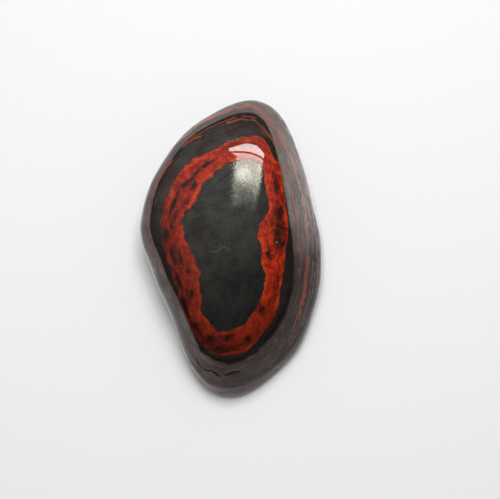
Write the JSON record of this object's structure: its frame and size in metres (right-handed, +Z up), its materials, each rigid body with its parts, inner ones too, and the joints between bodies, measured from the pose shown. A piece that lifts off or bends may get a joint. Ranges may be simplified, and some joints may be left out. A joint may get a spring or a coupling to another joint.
{
  "type": "mugglestone",
  "caption": "Polished freeform pebble of banded red jasper and dark iron ore, domed above and resting on a small flat spot.",
  "frame": {"origin": "on the resting surface, under the middle of the stone's bounding box", "axes": "+Z up out of the domed top; +Y along the stone to its narrow end; +X across it, to the right when +Y points away"},
  "size_m": [0.0172, 0.0284, 0.009],
  "materials": {
    "stone": "polished"
  },
  "bodies": {
    "root": {"mugglestone": "stone"}
  },
  "joints": []
}
